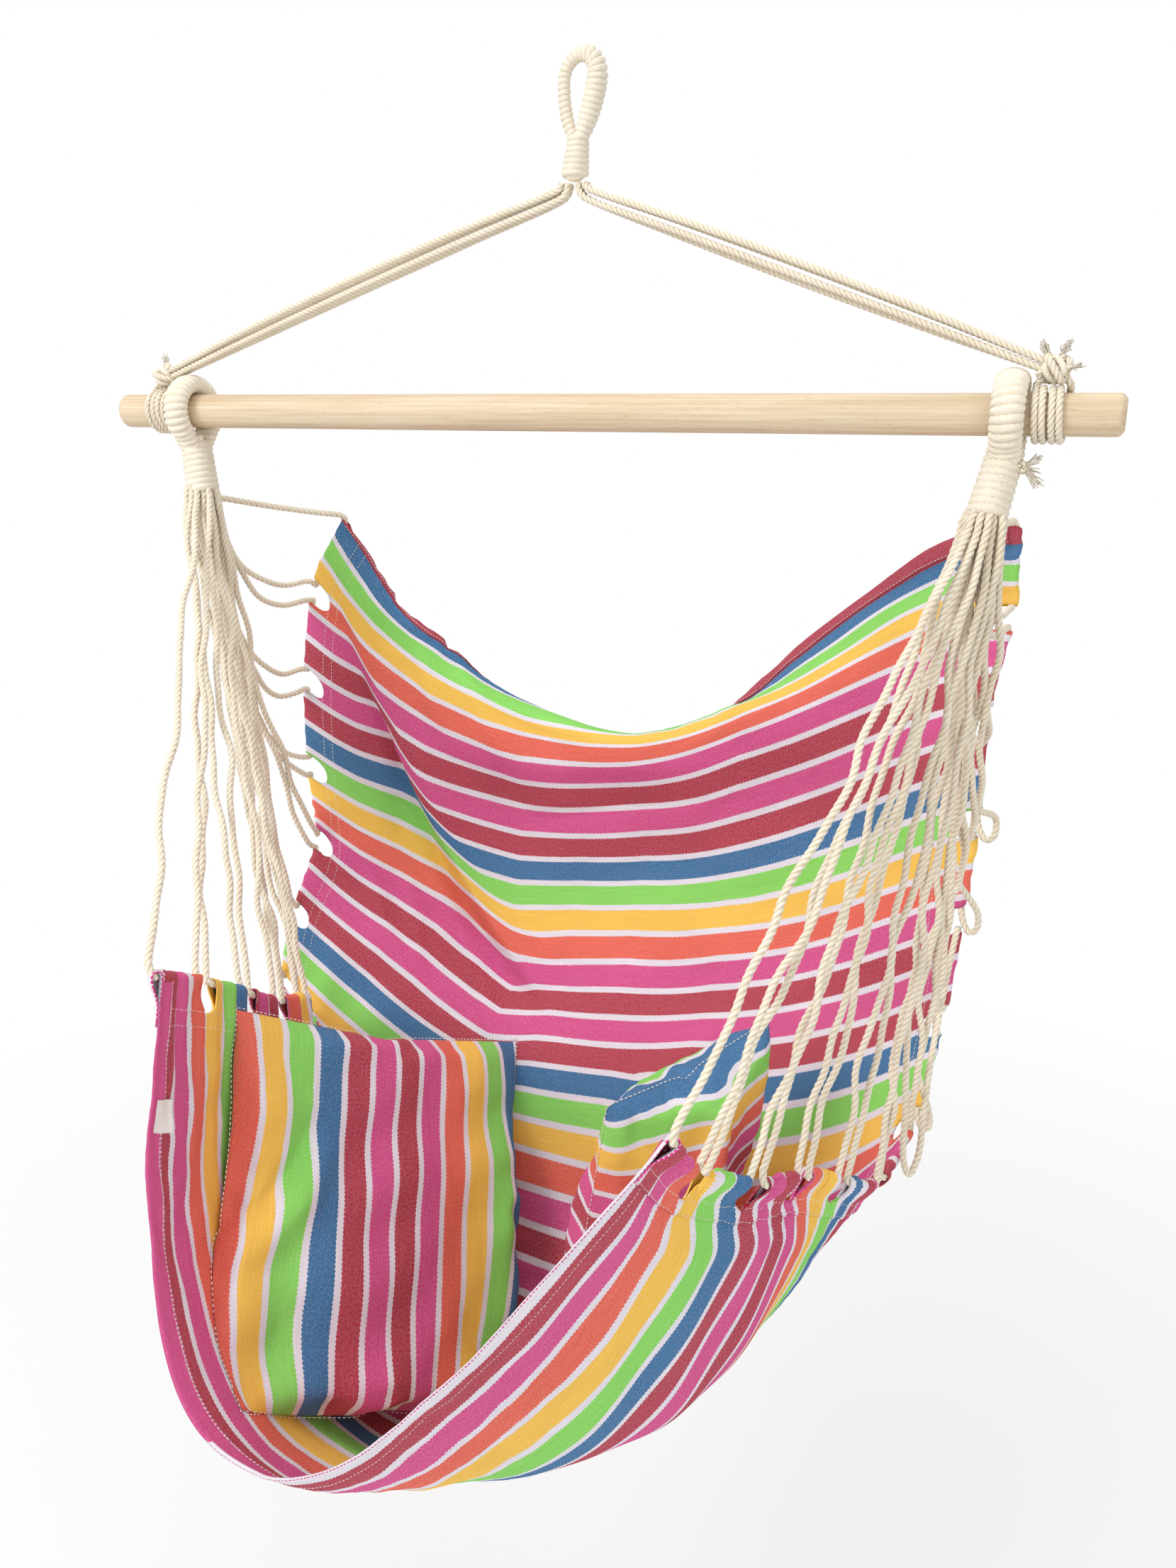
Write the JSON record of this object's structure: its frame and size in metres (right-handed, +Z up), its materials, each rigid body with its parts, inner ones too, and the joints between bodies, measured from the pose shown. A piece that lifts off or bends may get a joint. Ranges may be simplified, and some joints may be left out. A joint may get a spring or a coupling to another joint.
{
  "type": "hammock chair",
  "caption": "Striped canvas hammock chair slung by rope harnesses from a wooden spreader bar, with a rope eye at the top for a hook and loose cushions in the seat.",
  "frame": {"origin": "where a hook bears, at the inner top of the hanging eye's crown", "axes": "+X along the spreader bar towards the right-hand end as seen from the front, +Y to the back of the seat, +Z up"},
  "size_m": [1, 0.7001, 1.2816],
  "materials": {
    "eye_rope": "natural cotton rope bound with twine",
    "suspension_rope": "natural cotton rope, three strands",
    "knot_rope": "natural cotton rope, frayed ends",
    "harness_rope": "natural cotton rope, three strands",
    "bar": "smooth pale pine, unvarnished",
    "canvas": "woven cotton canvas with bright cross stripes",
    "left_cover": "striped canvas cover, soft filling",
    "right_cover": "striped canvas cover, soft filling",
    "label": "white satin ribbon, blank"
  },
  "bodies": {
    "eye": {"hanging_eye": "eye_rope", "hanging_eye_whipping": "eye_rope"},
    "suspension": {"spreader_bar": "bar", "left_bar_wraps": "knot_rope", "left_bar_knot": "knot_rope", "right_bar_wraps": "knot_rope", "right_bar_knot": "knot_rope", "left_suspension_rope_1": "suspension_rope", "left_suspension_rope_2": "suspension_rope", "left_suspension_rope_3": "suspension_rope", "left_suspension_rope_4": "suspension_rope", "right_suspension_rope_1": "suspension_rope", "right_suspension_rope_2": "suspension_rope", "right_suspension_rope_3": "suspension_rope", "right_suspension_rope_4": "suspension_rope"},
    "seat": {"left_side_eye": "eye_rope", "left_eye_whipping": "eye_rope", "right_side_eye": "eye_rope", "right_eye_whipping": "eye_rope", "canvas_seat": "canvas", "care_label": "label", "left_harness_rope_01": "harness_rope", "left_harness_rope_02": "harness_rope", "left_harness_rope_03": "harness_rope", "left_harness_rope_04": "harness_rope", "left_harness_rope_05": "harness_rope", "left_harness_rope_06": "harness_rope", "left_harness_rope_07": "harness_rope", "left_harness_rope_08": "harness_rope", "left_harness_rope_09": "harness_rope", "left_harness_rope_10": "harness_rope", "left_harness_rope_11": "harness_rope", "left_harness_rope_12": "harness_rope", "right_harness_rope_01": "harness_rope", "right_harness_rope_02": "harness_rope", "right_harness_rope_03": "harness_rope", "right_harness_rope_04": "harness_rope", "right_harness_rope_05": "harness_rope", "right_harness_rope_06": "harness_rope", "right_harness_rope_07": "harness_rope", "right_harness_rope_08": "harness_rope", "right_harness_rope_09": "harness_rope", "right_harness_rope_10": "harness_rope", "right_harness_rope_11": "harness_rope", "right_harness_rope_12": "harness_rope"},
    "left_cushion": {"left_cushion": "left_cover"},
    "right_cushion": {"right_cushion": "right_cover"}
  },
  "joints": [
    {"name": "suspension_swing", "type": "hinge", "parent": "eye", "child": "suspension", "pos_m": [-0.007, 0, -0.1024], "axis": [1, 0, 0], "range_deg": [-25, 25]},
    {"name": "seat_rock", "type": "hinge", "parent": "suspension", "child": "seat", "pos_m": [-0.0335, 0, -0.289], "axis": [1, 0, 0], "range_deg": [-25, 25]},
    {"name": "left_cushion_lift", "type": "slide", "parent": "seat", "child": "left_cushion", "axis": [0.15, 0, 0.9887], "range_m": [0, 0.12]},
    {"name": "right_cushion_lift", "type": "slide", "parent": "seat", "child": "right_cushion", "axis": [-0.1, 0, 0.995], "range_m": [0, 0.12]}
  ]
}
